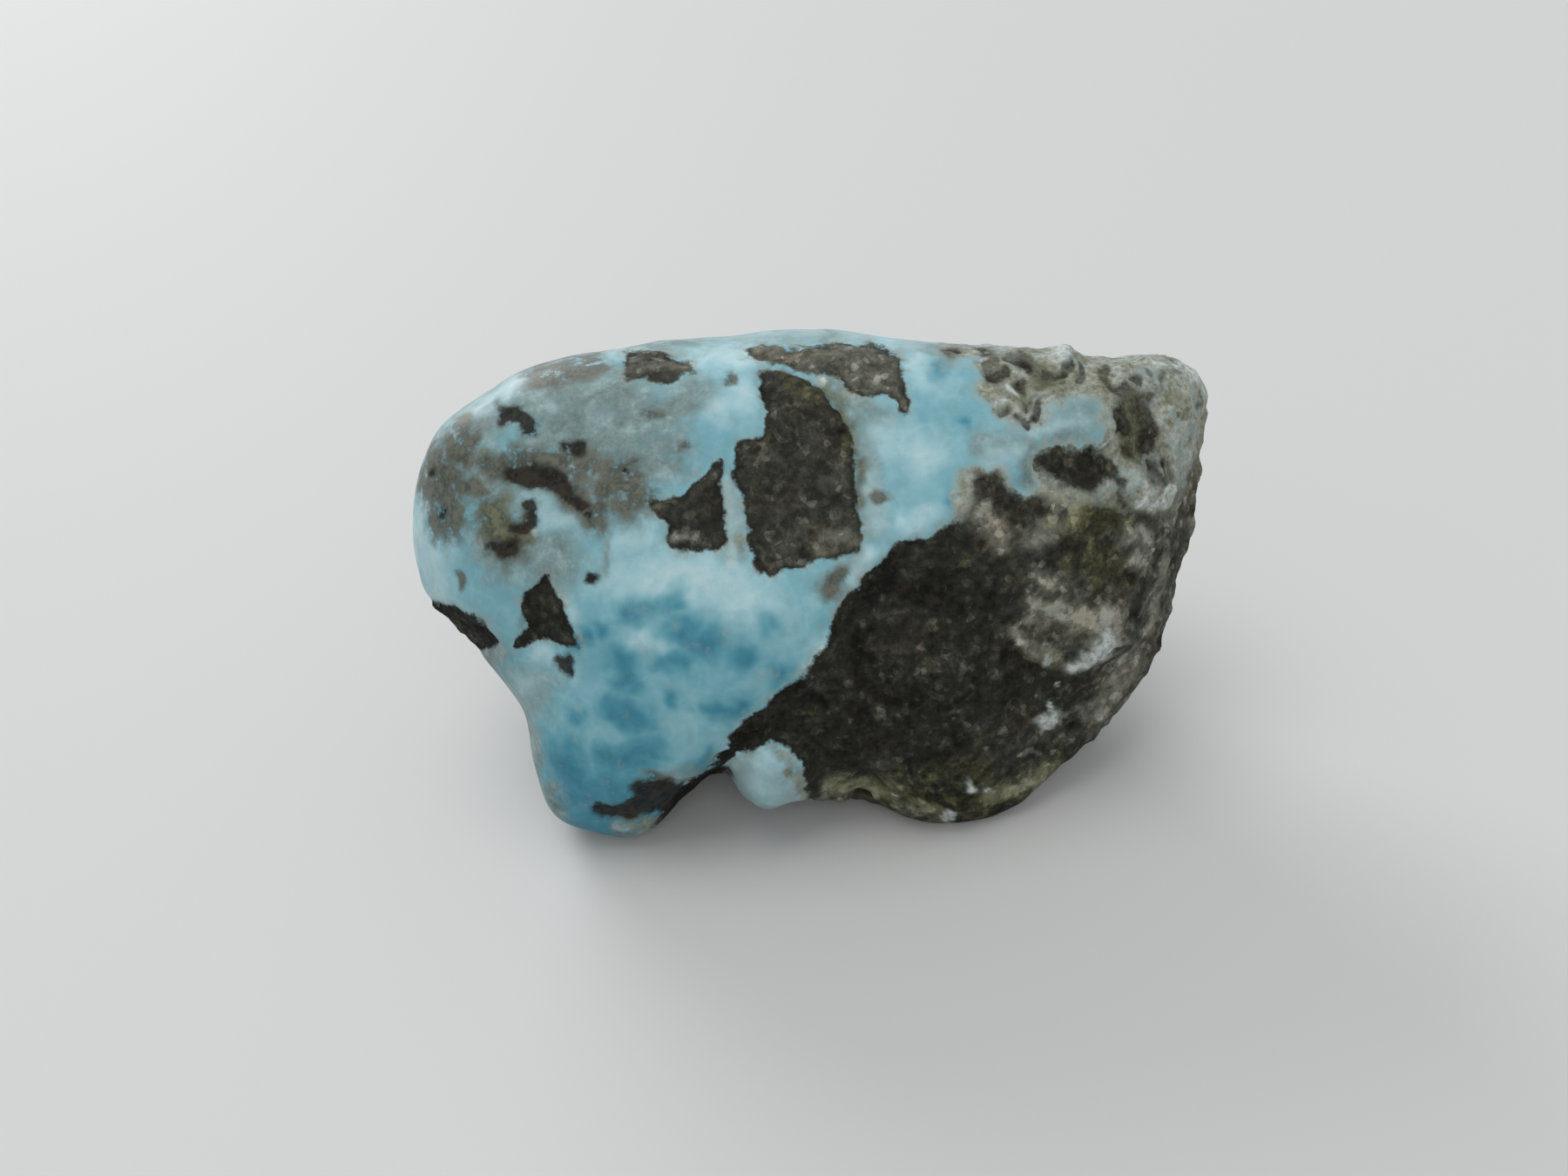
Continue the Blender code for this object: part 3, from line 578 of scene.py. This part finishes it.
        "fine": (0.75, 4, 0.65, 0.0, (9, 2, 4)), "grit": (0.34, 3, 0.7, 0.0, (7, 1, 2)),
        "soil": (1.1, 5, 0.7, 0.15, (1, 8, 3)), "cloud": (2.4, 4, 0.6, 0.5, (3, 1, 7)),
        "veil": (1.7, 2, 0.5, 0.3, (4, 9, 1)), "tint": (2.0, 4, 0.65, 0.2, (11, 8, 3)),
        "broad": (2.8, 3, 0.6, 0.0, (5, 5, 5)),
    },
    "grains": (0.34, (8, 3, 5)),                   # width and shift
    # Larimar's roughness, and how much the others add to it.
    "roughness": {"larimar": 0.45, "basalt": 0.4, "altered": 0.2, "dark": 0.3},
    "shine": 0.12,
    "polish": {"weight": 0.18, "roughness": 0.4},
    "bump": {"strength": 0.5, "height": 0.15},
}


def stoneShape():
    shape = bmesh.new()
    shape.from_mesh(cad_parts["larimar_stone"].data)
    bmesh.ops.remove_doubles(shape, verts=shape.verts, dist=stone["merged"] * mm)
    bmesh.ops.join_triangles(shape, faces=shape.faces, angle_face_threshold=stone["bent"],
                             angle_shape_threshold=stone["skewed"])
    return newPiece("larimar", shape)


def subdivided(piece):
    smooth = piece.modifiers.new("smooth", "SUBSURF")
    smooth.levels = smooth.render_levels = stone["levels"]
    graph = bpy.context.evaluated_depsgraph_get()
    mesh = bpy.data.meshes.new_from_object(piece.evaluated_get(graph))
    piece.modifiers.clear()
    piece.data = mesh
    mesh.shade_smooth()
    return mesh


def vectorsOf(items, field):
    values = np.empty(len(items) * 3)
    items.foreach_get(field, values)
    return values.reshape(-1, 3)


def wandered(places, uvw, noises, shifts):         # places moved by noise, so that edges run ragged
    moved = places.copy()
    for size, reach in noises:
        for axis, shift in enumerate(shifts):
            moved[:, axis] += reach * noiseAt(uvw, size, shift)
    return moved


def basaltDepth(places, uvw, depths, front):       # mm in from the basalt's edge, below 0 outside
    broad, fine = noiseAt(uvw, *stone["broadNoise"]), noiseAt(uvw, *stone["fineNoise"])
    bigMass = depths["bigMass"]
    clasts = np.max([depth for name, depth in depths.items() if name != "bigMass"], axis=0)
    knob = depthInside(places, stone["knob"])
    onFace = np.maximum(np.minimum(bigMass, -knob), clasts)
    buried = np.max([radius - np.linalg.norm(uvw - np.array((u, v, w)), axis=1)
                     for u, v, w, radius in stone["buried"]], axis=0) + stone["buriedFine"] * fine
    behind = stone["massBehind"]
    through = bigMass * behind["share"] + behind["broad"] * broad + behind["fine"] * fine
    return onFace * front + np.maximum(through, buried) * (1 - front)


def mapStone(uvw):                                 # how much of each stuff there is at each point
    front = ease(uvw[:, 2], *stone["faceEnds"])
    seen = seenPlaces(uvw)
    places = wandered(seen, uvw, **stone["ragged"])
    strayed = wandered(seen, uvw, **stone["straying"])
    cover = {name: strokes(strayed, lines) for name, lines in stone["marks"].items()}
    depths = {name: depthInside(places, outline) for name, outline in stone["basalt"].items()}
    for name, ashen in stone["ashen"].items():
        cover["ash"] = np.maximum(cover["ash"], ashen * ease(depths[name], *stone["ashenEnds"]))
    crystals = strokes(seen, [((a, b), radius) for a, b, radius, _ in stone["crystals"]])
    cover["white"] = np.maximum(cover["white"], crystals)
    cover["altered"] = ease(depthInside(places, stone["altered"]), *stone["alteredEnds"])
    for name, (size, shift, low, high) in stone["behind"].items():
        cover[name] = cover[name] * front + ease(noiseAt(uvw, size, shift), low, high) * (1 - front)
    cover["basalt"] = np.clip(basaltDepth(places, uvw, depths, front), -stone["reach"], stone["reach"])
    return cover


def reliefOf(uvw, height, cover):                  # mm out from the smooth stone
    inBasalt = ease(cover["basalt"], *stone["basaltEdge"])
    altered = ease(cover["altered"], *stone["alteredEdge"]) * (1 - inBasalt)
    level = np.zeros(len(uvw))
    for share, name in ((inBasalt, "basalt"), (altered, "altered"), (1 - inBasalt - altered, "larimar")):
        for size, tall in stone["lumps"][name]:
            level += share * tall * noiseAt(uvw, size, shift=size * 9)
    raw = 1 - ease(uvw[:, 2], *stone["rawEnds"])
    broken = sum(facetsAt(uvw, size, slope) for size, slope in stone["rawFacets"])
    level += raw * stone["rawReach"] * np.tanh(broken / stone["rawReach"])
    faceted = np.maximum(inBasalt, altered * stone["alteredFacets"])
    level += faceted * facetsAt(uvw, *stone["basaltFacets"])
    width, depth = stone["groove"]
    level -= depth * np.exp(-(cover["basalt"] / width) ** 2) * (1 - cover["altered"])
    for name, rise in stone["dents"].items():
        level += rise * cover[name]
    places = seenPlaces(uvw)
    for a, b, radius, rise in stone["bumps"] + stone["crystals"]:
        gap = np.hypot(places[:, 0] - a, places[:, 1] - b) / radius
        level += rise * np.exp(-gap**2) * (uvw[:, 2] > stone["bumpsEnd"])
    return level * ease(height / mm, *stone["pads"])


def easeFolds(mesh):                               # where the relief folds over itself
    sharpest, passes = stone["folds"]
    shape = bmesh.new()
    shape.from_mesh(mesh)
    for _ in range(passes):
        shape.normal_update()
        sharp = [edge for edge in shape.edges if edge.calc_face_angle(0) > sharpest]
        ends = (end for edge in sharp for end in edge.verts)
        around = dict.fromkeys(vert for end in ends for edge in end.link_edges for vert in edge.verts)
        bmesh.ops.smooth_vert(shape, verts=list(around), factor=0.5, use_axis_x=True, use_axis_y=True,
                              use_axis_z=True)
    print("folds left", len(sharp))
    shape.to_mesh(mesh)
    shape.free()


def larimarColour(board, share, noises):           # deep blue clouds, pale veils and dull patches, with painted shade and a painted highlight among the strokes
    fine, grit, soil, cloud = (noises[name] for name in ("fine", "grit", "soil", "cloud"))
    veil = board.ease(noises["veil"].size(), 0.4, 0.0)
    blueness = share["deep"] * 0.36 - share["milk"] * 0.28 + cloud * 0.09 + fine * 0.05 - veil * 0.05 + 0.46
    larimar = board.ramp(blueness, stone["ramps"]["larimar"])
    dull = board.ramp(soil * 0.5 + cloud * 0.2 + grit * 0.12 + 0.56, stone["ramps"]["dull"])
    isDullAndShade = board.ease(share["dull"] + soil * 0.3 + fine * 0.2, 0.0, 1.0) * (0.9 - share["milk"] * 0.5)
    return board.mix(isDullAndShade, larimar, dull)


def alteredColour(board, noises):                  # grey, beige and olive, with dark grains
    altered = board.ramp(noises["soil"] * 0.38 + noises["grit"] * 0.35 + 0.67, stone["ramps"]["altered"])
    tints, tint = stone["tints"], noises["tint"]
    altered = board.mix(board.ease(tint, -0.1, 0.4) * 0.55, altered, tints["blueGrey"])
    return board.mix(board.ease(tint, 0.0, -0.5) * 0.5, altered, tints["oliveGrey"])


def basaltColour(board, share, noises, ragged):    # fine dark grains, some of them pale
    fine, grit, soil, tint, broad = (noises[name] for name in ("fine", "grit", "soil", "tint", "broad"))
    broken, tints = noises["broken"], stone["tints"]
    grains = board.grains(*stone["grains"])
    speck = board.ease(grains + fine * 0.15, 0.82, 1.05) * 0.12
    beige = board.ease(share["beige"] * (broken * 1.5 + 1), 0.1, 0.9) * 0.15
    pale = share["ash"] * (fine * 0.15 + 0.37) + beige + share["white"] * 0.2 + speck
    plain = 1 - share["ash"] * 0.7                 # ashen basalt is more even
    # Basalt is darker in the hollows of its relief and paler on its lumps.
    blotched = grit * 0.12 + fine * 0.13 + soil * 0.12 + broad * 0.12 + share["relief"] * 0.30
    grey = blotched * plain + grains * 0.12 + share["worn"] * 0.10 + pale + 0.28
    basalt = board.ramp(grey, stone["ramps"]["basalt"])
    olive = board.ramp(grey, stone["ramps"]["olive"])
    isWarm = board.ease(tint + grit * 0.4, -0.1, 0.5) * 0.7
    basalt = board.mix(isWarm, basalt, tints["warmth"], "MULTIPLY")
    basalt = board.mix(board.ease(share["moss"] + broken + broad * 0.3, 0.3, 1.2) * 0.7, basalt, olive)
    return board.mix(board.ease(ragged, 0.45, 0.05) * 0.25 * plain, basalt, tints["darkLine"])


def stoneMaterial(names):
    board = Board("larimar and basalt")
    share = {name: board.attribute(name) for name in names}
    noises = {name: board.noise(*numbers) for name, numbers in stone["noises"].items()}
    fine, grit, soil = (noises[name] for name in ("fine", "grit", "soil"))
    broken = noises["broken"] = fine * 0.6 + grit * 0.25
    tints = stone["tints"]

    def mark(name):                                # a mark's share, torn at its edges
        low, high, strength, torn = stone["showing"][name]
        return board.ease(share[name] * (broken * torn + 1), low, high) * strength

    def mottled(name):
        return board.mix(board.ease(fine * 0.7 + grit * 0.6, -0.45, 0.45), *stone["mottles"][name])

    # Larimar gives way to altered stone, which has a grey halo round it.
    halo = board.ease(share["altered"] + broken * 0.5, 0.05, 0.5) * 0.6
    larimar = board.mix(halo, larimarColour(board, share, noises), tints["halo"])
    isAltered = board.ease(share["altered"] + soil * 0.35 + fine * 0.25, 0.36, 0.72)
    colour = board.mix(isAltered, larimar, alteredColour(board, noises))

    # Basalt comes next, with a pale line along the outside of its edge.
    ragged = share["basalt"] + broken * (isAltered * 0.3 + 0.34)
    isBasalt = board.ease(ragged, isAltered * -0.22 - 0.11, isAltered * 0.27 + 0.13)
    colour = board.mix(board.ease(ragged, -0.5, -0.02) * (fine * 0.7 + 0.3), colour, tints["paleLine"])
    colour = board.mix(isBasalt, colour, basaltColour(board, share, noises, ragged))

    # Single marks come last, moss and beige only outside the basalt.
    outside = 1 - isBasalt
    isBrown, isDark = mark("brown"), mark("dark") * (1 - isAltered * (0.25 - soil * 0.5))
    colour = board.mix(isBrown, colour, mottled("brown"))
    colour = board.mix(mark("moss") * outside, colour, mottled("moss"))
    colour = board.mix(mark("beige") * outside, colour, mottled("beige"))
    colour = board.mix(isDark, colour, mottled("dark"))
    colour = board.mix(mark("white"), colour, mottled("white"))

    rough, polish, bump = stone["roughness"], stone["polish"], stone["bump"]
    rougher = isBasalt * rough["basalt"] + isAltered * rough["altered"] + isDark * rough["dark"]
    polished = outside * (1 - isAltered) * (1 - isDark) * (1 - isBrown)
    height = grit * (isBasalt * 0.3 + 0.04) + soil * isAltered * 0.3
    sockets = {"Strength": bump["strength"], "Distance": bump["height"] * mm, "Height": height}
    finish = {
        "Base Color": colour,
        "Roughness": rougher + rough["larimar"],
        "Specular IOR Level": stone["shine"],
        "Coat Weight": polished * polish["weight"],
        "Coat Roughness": polish["roughness"],
        "Normal": board.node("ShaderNodeBump", None, sockets, out="Normal"),
    }
    for name, value in finish.items():
        board.plug(board.shader.inputs[name], value)
    return board.material


def addStone():
    piece = stoneShape()
    mesh = subdivided(piece)
    points, normals = vectorsOf(mesh.vertices, "co"), vectorsOf(mesh.vertices, "normal")
    print("points", len(points))
    uvw = (points - np.array(face["middle"])) @ faceAxes().T / mm
    cover = mapStone(uvw)
    print("mapped")
    cover["relief"] = reliefOf(uvw, points[:, 2], cover)
    points += normals * cover["relief"][:, None] * mm
    points[:, 2] = np.maximum(points[:, 2], 0)     # not through the floor
    mesh.vertices.foreach_set("co", points.ravel())
    easeFolds(mesh)
    for name, values in cover.items():
        layer = mesh.attributes.new(name, "FLOAT", "POINT")
        layer.data.foreach_set("value", values)
    mesh.update()
    mesh.materials.clear()
    mesh.materials.append(stoneMaterial(cover))
    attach(piece, "root")
    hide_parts("larimar_stone")


print("studio")
addStudio()
print("stone")
addStone()
